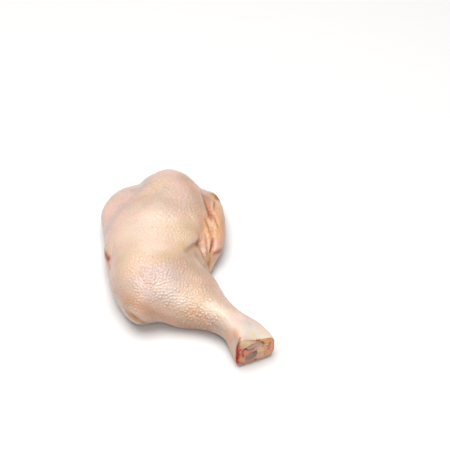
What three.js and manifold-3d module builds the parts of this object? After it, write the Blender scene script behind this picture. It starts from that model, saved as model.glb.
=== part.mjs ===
// A raw chicken leg, thigh and drumstick in one, lying skin side up on its inner side.
// Millimetres, +Z up. The origin is on the table, under the middle of the leg.
// +X points to the side of the loose flap of skin and +Y from the drumstick to the thigh.
// Every form is a field that is negative inside, and its zero level is turned into a mesh.

import * as THREE from 'three';
import { mergeVertices } from 'three/addons/utils/BufferGeometryUtils.js';
import Module from 'manifold-3d';

const wasm = await Module();
wasm.setup();

// Driving dimensions.
const skinThickness = 1.9;
const pieceGap = 0.45; // between the skin and the meat, so that their facets stay clear
const boneGap = 0.35;
const meshCell = 5.7; // size of a facet
const floorEdge = 2.8; // how softly the leg rounds onto the table

// The drumstick runs from the middle of its cut end to the middle of the knee.
const hockPoint = new THREE.Vector2(54.5, -79);
const kneePoint = new THREE.Vector2(-28, -12);
const cutAngle = 293; // where the cut end faces, in degrees from +X

// Sections across the drumstick. along is the distance from the cut end and lift the height
// of the middle; near, far, above and below are the half sizes to each side of it. A
// squareness of 2 is an ellipse, and lean makes the top lower on the far side.
const sections = [
  { along: -6, lift: 12.5, near: 13, far: 8, above: 12.5, below: 12, squareness: 3, lean: 0.25 },
  { along: 4, lift: 12.5, near: 18, far: 11.5, above: 13, below: 12, squareness: 2.9, lean: 0.25 },
  { along: 15, lift: 12, near: 14.5, far: 14.5, above: 12.5, below: 12, squareness: 2.5, lean: 0.15 },
  { along: 30, lift: 15, near: 7, far: 12.5, above: 11.5, below: 11.5, squareness: 2.2, lean: 0 },
  { along: 45, lift: 15, near: 10.5, far: 16.5, above: 12.5, below: 13.5, squareness: 2, lean: 0 },
  { along: 62, lift: 14.5, near: 19.5, far: 25, above: 17.5, below: 18.5, squareness: 2, lean: 0 },
  { along: 79, lift: 20.5, near: 19, far: 25, above: 20, below: 19.5, squareness: 2, lean: 0 },
  { along: 96, lift: 20, near: 22.5, far: 23.5, above: 18, below: 20, squareness: 2, lean: 0 },
  { along: 113, lift: 20.5, near: 24.5, far: 23, above: 17, below: 20, squareness: 2, lean: 0 },
];
const sideBlend = 4.7; // how softly one half size turns into the one opposite
const kneeEndRound = 19;

// The round masses that the thigh and the knee are made of. blend is how softly each one
// runs into what comes before it, and turn is its angle seen from above, in degrees.
const knee = { middle: [-28, -29, 19], radii: [15.5, 29, 20.5], turn: -3, blend: 22.5 };
const thighMain = { middle: [-19.5, 24.5, 17], radii: [31.5, 48, 24.5], turn: -36, blend: 0 };
const hipEnd = { middle: [-13, 62, 17], radii: [21, 26, 17], turn: 0, blend: 17 };
const sideLobe = { middle: [-30, 41.5, 15.5], radii: [32, 35.5, 13], turn: 14, blend: 11 };
const thighBase = { middle: [-17, 30, 8], radii: [35, 45, 13], turn: 0, blend: 8 };
const kneePad = { middle: [-8, 0, 23.5], radii: [19.5, 14.5, 14.5], turn: 42, blend: 9.5 };
const flapMain = { middle: [20.5, 38, 13], radii: [9, 31.5, 11.5], turn: 3, blend: 0 };
const flapRoot = { middle: [6, 22, 6.5], radii: [17, 34, 9], turn: 0, blend: 6 };
const flapWeb = { middle: [13, 56, 8], radii: [10.5, 22, 11], turn: 4, blend: 6 };
const flapTail = { middle: [13.5, 4.5, 12], radii: [6, 14, 10.5], turn: -10, blend: 7.5 };
const thighToDrumstick = 13;
const flapToThigh = 7.5;

// The skin is open underneath the thigh, and there the meat shows.
const openingMain = { middle: [-17, 29, -2.5], radii: [24, 30, 8.5], turn: 0, blend: 0 };
const openingSide = { middle: [-48, 8, 6.5], radii: [18, 12.5, 10], turn: 0, blend: 12 };

// The shin bone, as radii at distances along the drumstick from the cut end.
const bone = { ends: 7.2, shaft: 4, hockEndLength: 14, kneeEndFrom: 78, length: 96, flatness: 0.85 };
const boneLift = 12.5;
const boneShift = -2.5; // how far the bone lies towards the near side at the cut
const boneDrift = 8.5; // how far it has crossed to the far side at the knee
const boneRise = 4; // how much higher it lies at the knee
const boneFacets = 14;

const degree = Math.PI / 180;
const floorHeight = 0;
const beyondEnd = 12; // the drumstick goes on this far past the cut before it is cut off
const fieldLow = new THREE.Vector3(-76, -113, -24);
const fieldHigh = new THREE.Vector3(82, 104, 56);
const cutBlock = 80;
const middleShift = new THREE.Vector3(-1.18, -0.54, 0); // brings the middle of the leg to the origin
const sunkReach = 2; // how many times its depth a vertex may move sideways to reach it

function smoothMin(a, b, softness) {
  if (softness <= 0) return Math.min(a, b);
  const near = Math.max(softness - Math.abs(a - b), 0) / softness;
  return Math.min(a, b) - near * near * softness * 0.25;
}

function smoothMax(a, b, softness) {
  return -smoothMin(-a, -b, softness);
}

function ellipsoid(mass, x, y, z) {
  const cos = Math.cos(mass.turn * degree);
  const sin = Math.sin(mass.turn * degree);
  const dx = x - mass.middle[0];
  const dy = y - mass.middle[1];
  const u = cos * dx + sin * dy;
  const v = -sin * dx + cos * dy;
  const w = z - mass.middle[2];
  const [a, b, c] = mass.radii;
  const reach = Math.hypot(u / a, v / b, w / c);
  const slope = Math.hypot(u / (a * a), v / (b * b), w / (c * c)) + 1e-9;
  return (reach * (reach - 1)) / slope;
}

// A smooth curve through one size of all the sections.
function sizeAlong(name, along) {
  const last = sections.length - 1;
  const at = THREE.MathUtils.clamp(along, sections[0].along, sections[last].along);
  let i = 0;
  while (i < last - 1 && sections[i + 1].along <= at) i += 1;
  const tangent = (k) => {
    if (k === 0 || k === last) return 0;
    const span = sections[k + 1].along - sections[k - 1].along;
    return (sections[k + 1][name] - sections[k - 1][name]) / span;
  };
  const step = sections[i + 1].along - sections[i].along;
  const t = (at - sections[i].along) / step;
  const t2 = t * t;
  const t3 = t2 * t;
  return (2 * t3 - 3 * t2 + 1) * sections[i][name]
    + (t3 - 2 * t2 + t) * step * tangent(i)
    + (3 * t2 - 2 * t3) * sections[i + 1][name]
    + (t3 - t2) * step * tangent(i + 1);
}

const drumAxis = kneePoint.clone().sub(hockPoint).normalize();
const drumSide = new THREE.Vector2(drumAxis.y, -drumAxis.x); // towards the far side

function sigmoid(value) {
  return 1 / (1 + Math.exp(-value));
}

function drumstick(x, y, z) {
  const dx = x - hockPoint.x;
  const dy = y - hockPoint.y;
  const along = dx * drumAxis.x + dy * drumAxis.y;
  const across = dx * drumSide.x + dy * drumSide.y;
  const rise = z - sizeAlong('lift', along);
  const farShare = sigmoid(across / sideBlend);
  const half = THREE.MathUtils.lerp(sizeAlong('near', along), sizeAlong('far', along), farShare);
  const tilt = sizeAlong('lean', along) * THREE.MathUtils.clamp(across / half, -1, 1);
  const top = sizeAlong('above', along) * (1 - tilt);
  const height = THREE.MathUtils.lerp(sizeAlong('below', along), top, sigmoid(rise / sideBlend));
  const power = sizeAlong('squareness', along);
  const u = Math.abs(across) / half;
  const v = Math.abs(rise) / height;
  const reach = (u ** power + v ** power + 1e-12) ** (1 / power);
  const slope = Math.hypot((u / reach) ** (power - 1) / half, (v / reach) ** (power - 1) / height);
  const inner = reach < 0.2;
  const field = inner ? -Math.min(half, height) * (1 - reach) : (reach - 1) / (slope + 1e-9);
  const kneeEnd = along - sections[sections.length - 1].along - 6;
  return smoothMax(Math.max(field, -along - beyondEnd), kneeEnd, kneeEndRound);
}

function joinMasses(masses, x, y, z) {
  let field = ellipsoid(masses[0], x, y, z);
  for (const mass of masses.slice(1)) {
    field = smoothMin(field, ellipsoid(mass, x, y, z), mass.blend);
  }
  return field;
}

function wholeLeg(x, y, z) {
  const lower = smoothMin(drumstick(x, y, z), ellipsoid(knee, x, y, z), knee.blend);
  const thigh = joinMasses([thighMain, hipEnd, sideLobe, thighBase, kneePad], x, y, z);
  const flap = joinMasses([flapMain, flapTail, flapRoot, flapWeb], x, y, z);
  const body = smoothMin(smoothMin(lower, thigh, thighToDrumstick), flap, flapToThigh);
  return smoothMax(body, floorHeight - z, floorEdge);
}

function skinOpening(x, y, z) {
  return joinMasses([openingMain, openingSide], x, y, z);
}

// Moves a point along the field's slope until it lies on the zero level.
function settle(field, point, maxMove) {
  const start = point.clone();
  const tiny = 0.01;
  for (let round = 0; round < 6; round += 1) {
    const { x, y, z } = point;
    const value = field(x, y, z);
    const slope = new THREE.Vector3(
      field(x + tiny, y, z) - field(x - tiny, y, z),
      field(x, y + tiny, z) - field(x, y - tiny, z),
      field(x, y, z + tiny) - field(x, y, z - tiny),
    ).divideScalar(2 * tiny);
    const steep = Math.max(slope.lengthSq(), 0.05);
    point.addScaledVector(slope, -value / steep);
  }
  const moved = point.clone().sub(start);
  if (moved.length() > maxMove) point.copy(start).addScaledVector(moved.normalize(), maxMove);
  return point;
}

// Puts one vertex in each cell that the zero level crosses, and a quad round each such edge.
function meshOfField(field, cell) {
  const size = fieldHigh.clone().sub(fieldLow).divideScalar(cell).ceil().addScalar(1);
  const stride = [1, size.x, size.x * size.y];
  const values = new Float64Array(size.x * size.y * size.z);
  const nodeAt = (i, j, k) => new THREE.Vector3(i, j, k).multiplyScalar(cell).add(fieldLow);
  for (let k = 0; k < size.z; k += 1) {
    for (let j = 0; j < size.y; j += 1) {
      for (let i = 0; i < size.x; i += 1) {
        const node = nodeAt(i, j, k);
        values[i + j * stride[1] + k * stride[2]] = field(node.x, node.y, node.z);
      }
    }
  }

  const vertexOfCell = new Map();
  const positions = [];
  const corners = [];
  for (let c = 0; c < 8; c += 1) corners.push([c & 1, (c >> 1) & 1, c >> 2]);
  for (let k = 0; k < size.z - 1; k += 1) {
    for (let j = 0; j < size.y - 1; j += 1) {
      for (let i = 0; i < size.x - 1; i += 1) {
        const base = i + j * stride[1] + k * stride[2];
        const at = (corner) => values[base + corner[0] + corner[1] * stride[1] + corner[2] * stride[2]];
        const sum = new THREE.Vector3();
        let crossings = 0;
        for (let a = 0; a < 8; a += 1) {
          for (let axis = 0; axis < 3; axis += 1) {
            if (corners[a][axis] === 1) continue;
            const b = a + (1 << axis);
            const va = at(corners[a]);
            const vb = at(corners[b]);
            if ((va < 0) === (vb < 0)) continue;
            const spot = new THREE.Vector3(...corners[a]);
            spot.setComponent(axis, va / (va - vb));
            sum.add(spot);
            crossings += 1;
          }
        }
        if (crossings === 0) continue;
        const vertex = sum.divideScalar(crossings).multiplyScalar(cell).add(nodeAt(i, j, k));
        settle(field, vertex, cell * 0.6);
        vertexOfCell.set(base, positions.length / 3);
        positions.push(vertex.x, vertex.y, vertex.z);
      }
    }
  }

  const triangles = [];
  for (let k = 1; k < size.z - 1; k += 1) {
    for (let j = 1; j < size.y - 1; j += 1) {
      for (let i = 1; i < size.x - 1; i += 1) {
        const base = i + j * stride[1] + k * stride[2];
        for (let axis = 0; axis < 3; axis += 1) {
          const inside = values[base] < 0;
          if (inside === (values[base + stride[axis]] < 0)) continue;
          const u = stride[(axis + 1) % 3];
          const v = stride[(axis + 2) % 3];
          const quad = [base - u - v, base - v, base, base - u].map((key) => vertexOfCell.get(key));
          if (!inside) quad.reverse();
          triangles.push(quad[0], quad[1], quad[2], quad[0], quad[2], quad[3]);
        }
      }
    }
  }

  const geometry = new THREE.BufferGeometry();
  geometry.setAttribute('position', new THREE.Float32BufferAttribute(positions, 3));
  geometry.setIndex(triangles);
  return geometry;
}

// The same facets moved in to a given depth under the surface, so that two depths never touch.
function sunk(geometry, depth) {
  const copy = geometry.clone();
  const position = copy.getAttribute('position');
  const point = new THREE.Vector3();
  const level = (x, y, z) => wholeLeg(x, y, z) + depth;
  for (let i = 0; i < position.count; i += 1) {
    point.fromBufferAttribute(position, i);
    settle(level, point, depth * sunkReach);
    position.setXYZ(i, point.x, point.y, point.z);
  }
  return copy;
}

function toSolid(geometry) {
  const bare = geometry.clone();
  bare.deleteAttribute('normal');
  bare.deleteAttribute('uv');
  const merged = mergeVertices(bare, 1e-4);
  return new wasm.Manifold(new wasm.Mesh({
    numProp: 3,
    vertProperties: new Float32Array(merged.getAttribute('position').array),
    triVerts: new Uint32Array(merged.getIndex().array),
  }));
}

function toGeometry(solid) {
  const mesh = solid.getMesh();
  const geometry = new THREE.BufferGeometry();
  geometry.setAttribute('position', new THREE.BufferAttribute(mesh.vertProperties, 3));
  geometry.setIndex(new THREE.BufferAttribute(mesh.triVerts, 1));
  geometry.computeVertexNormals();
  return geometry;
}

// A block whose one face is the plane of the cut end.
function cutBlockSolid() {
  const block = new THREE.BoxGeometry(cutBlock, cutBlock * 2, cutBlock * 2);
  block.translate(cutBlock / 2, 0, 0);
  block.rotateZ(cutAngle * degree);
  block.translate(hockPoint.x, hockPoint.y, 0);
  return toSolid(block);
}

// The bone is turned round its own length, and extra makes the channel that it lies in.
function boneSolid(extra) {
  const from = -20;
  const end = bone.ends + extra;
  const shaft = bone.shaft + extra;
  const outline = new THREE.SplineCurve([
    new THREE.Vector2(end, from),
    new THREE.Vector2(end, bone.hockEndLength * 0.4),
    new THREE.Vector2(shaft + (end - shaft) * 0.3, bone.hockEndLength),
    new THREE.Vector2(shaft, bone.hockEndLength * 1.8),
    new THREE.Vector2(shaft, bone.kneeEndFrom * 0.8),
    new THREE.Vector2(end, bone.kneeEndFrom + 6),
    new THREE.Vector2(end * 0.9, bone.length - 4),
  ]);
  const tip = new THREE.Vector2(0, bone.length + extra);
  const profile = [new THREE.Vector2(0, from), ...outline.getPoints(boneFacets), tip];
  const turned = new THREE.LatheGeometry(profile, boneFacets);
  turned.scale(1, 1, bone.flatness);
  const reach = drumAxis.clone().multiplyScalar(bone.length).addScaledVector(drumSide, boneDrift);
  const along = new THREE.Vector3(reach.x, reach.y, boneRise).normalize();
  turned.applyQuaternion(new THREE.Quaternion().setFromUnitVectors(new THREE.Vector3(0, 1, 0), along));
  const foot = hockPoint.clone().addScaledVector(drumSide, boneShift);
  turned.translate(foot.x, foot.y, boneLift);
  return toSolid(turned);
}

function namedMesh(name, solid, colour, roughness) {
  const material = new THREE.MeshStandardMaterial({ color: colour, roughness, metalness: 0 });
  const mesh = new THREE.Mesh(toGeometry(solid), material);
  mesh.name = name;
  return mesh;
}

const beyondCut = cutBlockSolid();
const surface = meshOfField(wholeLeg, meshCell);
const outside = toSolid(surface);
const underSkin = toSolid(sunk(surface, skinThickness));
const meatBody = toSolid(sunk(surface, skinThickness + pieceGap));
const opening = toSolid(meshOfField(skinOpening, meshCell));

const skin = outside.subtract(underSkin).subtract(opening).subtract(beyondCut);
const meat = meatBody.subtract(boneSolid(boneGap)).subtract(beyondCut);
const shinBone = boneSolid(0).subtract(beyondCut);

const leg = new THREE.Group();
leg.position.copy(middleShift);
leg.add(namedMesh('skin', skin, '#e6c6b4', 0.4));
leg.add(namedMesh('meat', meat, '#c98a7a', 0.45));
leg.add(namedMesh('shin_bone', shinBone, '#cdbfc0', 0.35));

export default leg;
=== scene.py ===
# A raw chicken leg, thigh and drumstick in one, lying skin side up on a pale floor.
import math
import time

import bpy
import numpy as np
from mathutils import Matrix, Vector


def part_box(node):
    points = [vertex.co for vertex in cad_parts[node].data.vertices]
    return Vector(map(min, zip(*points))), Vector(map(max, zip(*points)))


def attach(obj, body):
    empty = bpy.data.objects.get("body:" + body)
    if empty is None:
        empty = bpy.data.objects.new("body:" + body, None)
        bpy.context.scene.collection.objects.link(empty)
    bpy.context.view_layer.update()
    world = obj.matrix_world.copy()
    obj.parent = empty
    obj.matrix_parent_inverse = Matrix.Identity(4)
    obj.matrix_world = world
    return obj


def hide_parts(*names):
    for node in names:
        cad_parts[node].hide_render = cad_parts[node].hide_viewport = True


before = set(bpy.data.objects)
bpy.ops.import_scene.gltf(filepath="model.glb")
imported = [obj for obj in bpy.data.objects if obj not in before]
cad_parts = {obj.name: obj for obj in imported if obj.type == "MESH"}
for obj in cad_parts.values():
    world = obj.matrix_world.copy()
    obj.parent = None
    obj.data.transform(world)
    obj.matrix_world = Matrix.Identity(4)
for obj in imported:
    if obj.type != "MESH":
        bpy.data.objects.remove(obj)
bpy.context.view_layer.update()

import openvdb
from mathutils import Vector, kdtree

mm = 0.001
degree = math.pi / 180
clock = time.time()


def say(what):
    print(f"{time.time() - clock:6.1f} s  {what}")


say("frame loaded: " + ", ".join(sorted(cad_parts)))

# the view: a long lens that looks down at the leg from the side of the cut end
view = {
    "distance": 940,  # mm from the lens to the place it looks at
    "target": (27.95, 50.2, 0),
    "elevation": 45,
    "lens": 100,
    "sensor": 36,
    "pictureSide": 450,  # pixels
}


def viewFrame():
    lift = view["elevation"] * degree
    forward = np.array([0.0, math.cos(lift), -math.sin(lift)])
    upward = np.array([0.0, math.sin(lift), math.cos(lift)])
    eye = np.array(view["target"], float) - forward * view["distance"]
    return eye, np.array([1.0, 0.0, 0.0]), upward, forward


def raysThrough(pixels):  # one unit ray in mm for each picture point
    eye, sideways, upward, forward = viewFrame()
    spread = view["lens"] / view["sensor"] * view["pictureSide"]
    half = view["pictureSide"] / 2
    pixels = np.atleast_2d(np.array(pixels, float))
    rays = forward + (pixels[:, :1] - half) / spread * sideways + (half - pixels[:, 1:2]) / spread * upward
    return eye, rays / np.linalg.norm(rays, axis=1, keepdims=True)


def addObject(name, data):
    thing = bpy.data.objects.new(name, data)
    bpy.context.scene.collection.objects.link(thing)
    return thing


def makeCamera():
    data = bpy.data.cameras.new("camera")
    data.lens = view["lens"]
    data.sensor_width = view["sensor"]
    data.clip_start = 0.05
    data.clip_end = 20
    camera = addObject("camera", data)
    camera.location = Vector(viewFrame()[0]) * mm
    camera.rotation_euler = ((90 - view["elevation"]) * degree, 0, 0)
    bpy.context.scene.camera = camera


# small tools on whole arrays of places
def smoothMin(a, b, softness):
    if softness <= 0:
        return np.minimum(a, b)
    near = np.maximum(softness - np.abs(a - b), 0) / softness
    return np.minimum(a, b) - near * near * softness * 0.25


def smoothMax(a, b, softness):
    return -smoothMin(-a, -b, softness)


def sigmoid(value):
    return 1 / (1 + np.exp(-np.clip(value, -30, 30)))


def smoothStep(low, high, value):
    t = np.clip((value - low) / (high - low), 0, 1)
    return t * t * (3 - 2 * t)


def curveThrough(places, values, wanted):
    places, values = np.array(places, float), np.array(values, float)
    slopes = np.zeros(len(places))
    slopes[1:-1] = (values[2:] - values[:-2]) / (places[2:] - places[:-2])
    wanted = np.clip(wanted, places[0], places[-1])
    i = np.clip(np.searchsorted(places, wanted, side="right") - 1, 0, len(places) - 2)
    step = places[i + 1] - places[i]
    t = (wanted - places[i]) / step
    return ((2 * t**3 - 3 * t**2 + 1) * values[i] + (t**3 - 2 * t**2 + t) * step * slopes[i]
            + (3 * t**2 - 2 * t**3) * values[i + 1] + (t**3 - t**2) * step * slopes[i + 1])


noiseSide = 32
noiseShift = 7.31
noiseTable = np.random.default_rng(11).random((noiseSide, noiseSide, noiseSide))


def softNoise(points, size, shift=0.0):  # smooth lumps of that size in mm, from -1 to 1
    place = points / size + noiseShift * shift
    base = np.floor(place).astype(int)
    t = place - base
    t = t * t * (3 - 2 * t)
    total = np.zeros(len(points))
    for corner in np.ndindex(2, 2, 2):
        share = np.prod(np.where(np.array(corner) == 1, t, 1 - t), axis=1)
        i = (base + corner) % noiseSide
        total += share * noiseTable[i[:, 0], i[:, 1], i[:, 2]]
    return total * 2 - 1


# the form of the whole leg, in mm, as the solids of the frame have it, with a fuller corner at the cut
legForm = {
    "middleShift": (-1.18, -0.54),
    "hock": (54.5, -79),
    "kneePoint": (-28, -12),
    "cutAngle": 293,
    "sideBlend": 4.7,
    "kneeEndRound": 19,
    "kneeEndPast": 6,  # mm that the drumstick runs on past its last section
    "floorEdge": 2.8,
    "plainCore": 0.2,  # share of the half width inside which the field is kept simple
    "thighToDrumstick": 13,
    "flapToThigh": 7.5,
    "skinThickness": 1.9,
    # along the drumstick: place, lift of the middle, near and far half width, above, below, squareness, lean
    "drumSections": (
        (-6, 12.5, 12.2, 6.8, 11.5, 12, 2.2, 0.1),
        (4, 12.5, 18.7, 11.8, 9.4, 12, 4.1, 0.85),
        (15, 12, 14, 14.5, 13.7, 12, 2.6, 0.45),
        (30, 15, 7, 12.5, 11.5, 11.5, 2.2, 0),
        (45, 15, 10.5, 16.5, 12.5, 13.5, 2, 0),
        (62, 14.5, 19.5, 25, 17.5, 18.5, 2, 0),
        (79, 20.5, 19, 25, 20, 19.5, 2, 0),
        (96, 20, 22.5, 23.5, 18, 20, 2, 0),
        (113, 20.5, 24.5, 23, 17, 20, 2, 0),
    ),
    # round masses: middle, radii, turn seen from above in degrees, blend into the ones before it
    "knee": ((-28, -29, 19), (15.5, 29, 20.5), -3, 22.5),
    "thigh": (
        ((-19.5, 24.5, 17), (31.5, 48, 24.5), -36, 0),
        ((-13, 62, 17), (21, 26, 17), 0, 17),
        ((-30, 41.5, 15.5), (32, 35.5, 13), 14, 11),
        ((-17, 30, 8), (35, 45, 13), 0, 8),
        ((-8, 0, 23.5), (19.5, 14.5, 14.5), 42, 9.5),
    ),
    "flap": (
        ((20.5, 38, 13), (9, 31.5, 11.5), 3, 0),
        ((13.5, 4.5, 12), (6, 14, 10.5), -10, 7.5),
        ((6, 22, 6.5), (17, 34, 9), 0, 6),
        ((13, 56, 8), (10.5, 22, 11), 4, 6),
    ),
    "opening": (
        ((-17, 29, -2.5), (24, 30, 8.5), 0, 0),
        ((-48, 8, 6.5), (18, 12.5, 10), 0, 12),
    ),
}
sectionNames = ("along", "lift", "near", "far", "above", "below", "squareness", "lean")
sectionSteps = 400
drumSections = np.array(legForm["drumSections"], float)
denseAlong = np.linspace(drumSections[0, 0], drumSections[-1, 0], sectionSteps)
denseSizes = {
    name: curveThrough(drumSections[:, 0], drumSections[:, k], denseAlong)
    for k, name in enumerate(sectionNames)
}
hock = np.array(legForm["hock"], float)
kneePoint = np.array(legForm["kneePoint"], float)
drumAxis = (kneePoint - hock) / np.linalg.norm(kneePoint - hock)
drumSide = np.array([drumAxis[1], -drumAxis[0]])  # towards the far side
cutFacing = np.array([math.cos(legForm["cutAngle"] * degree), math.sin(legForm["cutAngle"] * degree)])
cutAcross = np.array([-cutFacing[1], cutFacing[0]])  # to the right, seen from the cut end


def unshift(x, y):
    return x - legForm["middleShift"][0], y - legForm["middleShift"][1]


def sizeAlong(name, along):
    return np.interp(along, denseAlong, denseSizes[name]).astype(np.float32)


def drumPlace(x, y):  # distance from the cut end, and distance towards the far side
    dx, dy = x - hock[0], y - hock[1]
    return dx * drumAxis[0] + dy * drumAxis[1], dx * drumSide[0] + dy * drumSide[1]


def ellipsoid(mass, x, y, z):
    middle, radii, turn = mass[:3]
    cos, sin = math.cos(turn * degree), math.sin(turn * degree)
    dx, dy, w = x - middle[0], y - middle[1], z - middle[2]
    u, v = cos * dx + sin * dy, cos * dy - sin * dx
    a, b, c = radii
    reach = np.sqrt((u / a) ** 2 + (v / b) ** 2 + (w / c) ** 2)
    slope = np.sqrt((u / a**2) ** 2 + (v / b**2) ** 2 + (w / c**2) ** 2) + 1e-9
    return reach * (reach - 1) / slope


def joinMasses(masses, x, y, z):
    field = ellipsoid(masses[0], x, y, z)
    for mass in masses[1:]:
        field = smoothMin(field, ellipsoid(mass, x, y, z), mass[3])
    return field


def drumstick(x, y, z):
    along, across = drumPlace(x, y)
    rise = z - sizeAlong("lift", along)
    farShare = sigmoid(across / legForm["sideBlend"])
    half = sizeAlong("near", along) * (1 - farShare) + sizeAlong("far", along) * farShare
    top = sizeAlong("above", along) * (1 - sizeAlong("lean", along) * np.clip(across / half, -1, 1))
    topShare = sigmoid(rise / legForm["sideBlend"])
    height = sizeAlong("below", along) * (1 - topShare) + top * topShare
    power = sizeAlong("squareness", along)
    u, v = np.abs(across) / half, np.abs(rise) / height
    reach = (u**power + v**power + 1e-12) ** (1 / power)
    slope = np.sqrt(((u / reach) ** (power - 1) / half) ** 2 + ((v / reach) ** (power - 1) / height) ** 2)
    core = -np.minimum(half, height) * (1 - reach)
    field = np.where(reach < legForm["plainCore"], core, (reach - 1) / (slope + 1e-9))
    return smoothMax(field, along - drumSections[-1, 0] - legForm["kneeEndPast"], legForm["kneeEndRound"])


def plainLeg(x, y, z):  # below zero inside; in the frame's place, in mm
    x, y = unshift(x, y)
    lower = smoothMin(drumstick(x, y, z), ellipsoid(legForm["knee"], x, y, z), legForm["knee"][3])
    thigh = joinMasses(legForm["thigh"], x, y, z)
    flap = joinMasses(legForm["flap"], x, y, z)
    body = smoothMin(smoothMin(lower, thigh, legForm["thighToDrumstick"]), flap, legForm["flapToThigh"])
    return smoothMax(body, 0 - z, legForm["floorEdge"])


def beyondCut(x, y):  # positive past the plane of the cut end
    x, y = unshift(x, y)
    return (x - hock[0]) * cutFacing[0] + (y - hock[1]) * cutFacing[1]


def acrossCut(x, y):  # place along the cut face, to the right
    x, y = unshift(x, y)
    return (x - hock[0]) * cutAcross[0] + (y - hock[1]) * cutAcross[1]


def cutLeg(x, y, z):  # the plain leg without what lies past the cut
    return np.maximum(plainLeg(x, y, z), beyondCut(x, y))


def opening(x, y, z):
    x, y = unshift(x, y)
    return joinMasses(legForm["opening"], x, y, z)


def slopeOf(field, points, reach=0.3):  # unit normals of a field at places
    steps = np.eye(3) * reach
    slope = np.stack([field(*(points + s).T) - field(*(points - s).T) for s in steps], axis=1)
    return slope / (np.linalg.norm(slope, axis=1, keepdims=True) + 1e-9)


# how a ray walks up to a field: it starts above the leg, and its steps are kept short
rayWalk = {"startHeight": 60, "steps": 90, "share": 0.7, "back": -1.5, "onward": 5}


def castOn(field, pixels):  # where the rays through picture points meet a field
    eye, rays = raysThrough(pixels)
    reach = (rayWalk["startHeight"] - eye[2]) / rays[:, 2]
    for _ in range(rayWalk["steps"]):
        step = field(*(eye + rays * reach[:, None]).T) * rayWalk["share"]
        reach = reach + np.clip(step, rayWalk["back"], rayWalk["onward"])
    return eye + rays * reach[:, None]


def fromCutPlace(across, outward, height):  # a place given from the cut face, as a place of the leg
    start = hock + np.array(legForm["middleShift"])
    flat = start + np.outer(across, cutAcross) + np.outer(outward, cutFacing)
    return np.c_[flat, height]


def laidOnCut(points):  # places given from the cut face, moved straight onto its plane
    return fromCutPlace(points[:, 0], 0 * points[:, 1], points[:, 2])


def onCutFace(pixels):  # picture points on the cut face, as place across and height
    spots = castOn(cutLeg, pixels)
    return np.stack([acrossCut(spots[:, 0], spots[:, 1]), spots[:, 2]], axis=1)


# folds: a line of picture points, with the skin overhanging on its right hand side
# the depths along the path, the lift of the lip and the widths are in mm
folds = {
    "kneeCrease": {
        "path": ((199.8, 241.8), (197, 244), (191.5, 247.4), (185, 251.6), (178, 256.5), (170, 262)),
        "depth": (2.6, 2.0, 1.3, 0.7, 0.3, 0.1),
        "sharp": 1.4, "soft": 2.8, "lift": 0.5, "lipAt": 5.0, "lipWide": 4.5,
    },
    "flapGroove": {
        "path": ((202.3, 191), (204, 197), (207, 204.5), (209.8, 212), (211.3, 218.5)),
        "depth": (1.2, 2.8, 3.8, 3.0, 0.4),
        "sharp": 1.6, "soft": 2.6, "lift": 0.3, "lipAt": 3.5, "lipWide": 3.0,
    },
    "flapFold": {
        "path": ((205.5, 218.5), (208.3, 224), (210.6, 229.5), (210.9, 236)),
        "depth": (0.3, 1.5, 1.7, 0.5),
        "sharp": 0.9, "soft": 1.5, "lift": 0.3, "lipAt": 2.2, "lipWide": 1.6,
    },
    "flapCleft": {
        "path": ((213.6, 238.5), (212.6, 244), (210.8, 249.5), (209, 256)),
        "depth": (0.8, 2.2, 2.0, 0.4),
        "sharp": 0.9, "soft": 1.7, "lift": 0.4, "lipAt": 2.4, "lipWide": 1.8,
    },
    "flapInner": {
        "path": ((199, 242.5), (201, 249), (204.5, 257.5), (209, 267)),
        "depth": (2.4, 2.0, 1.8, 1.6),
        "sharp": 1.0, "soft": 1.6, "lift": 0.3, "lipAt": 3.0, "lipWide": 2.5,
    },
    "kneeRoll": {
        "path": ((148.5, 323.6), (142.5, 321.6), (136.2, 317.6), (131, 313.4), (127, 308)),
        "depth": (1.0, 1.9, 1.8, 1.2, 0.2),
        "sharp": 0.9, "soft": 1.6, "lift": 0.6, "lipAt": 3.0, "lipWide": 2.5,
    },
    "kneeEdge": {
        "path": ((109.2, 275), (110.2, 266), (111.3, 256), (112.6, 246), (114.5, 238)),
        "depth": (0.8, 1.4, 1.4, 0.9, 0.2),
        "sharp": 2.0, "soft": 3.2, "lift": 0.2, "lipAt": 3.5, "lipWide": 3.0,
    },
    "lobeGroove": {
        "path": ((147, 177), (138, 187), (128, 198), (119, 212)),
        "depth": (1.4, 1.2, 0.3),
        "sharp": 5.5, "soft": 5.5, "lift": 0.0, "lipAt": 5.0, "lipWide": 5.0,
    },
    "ankleFold": {
        "path": ((203, 326.5), (208, 329), (214, 334), (221, 341)),
        "depth": (0.3, 0.8, 0.5, 0.1),
        "sharp": 0.9, "soft": 1.6, "lift": 0.2, "lipAt": 2.0, "lipWide": 1.8,
    },
}
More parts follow.
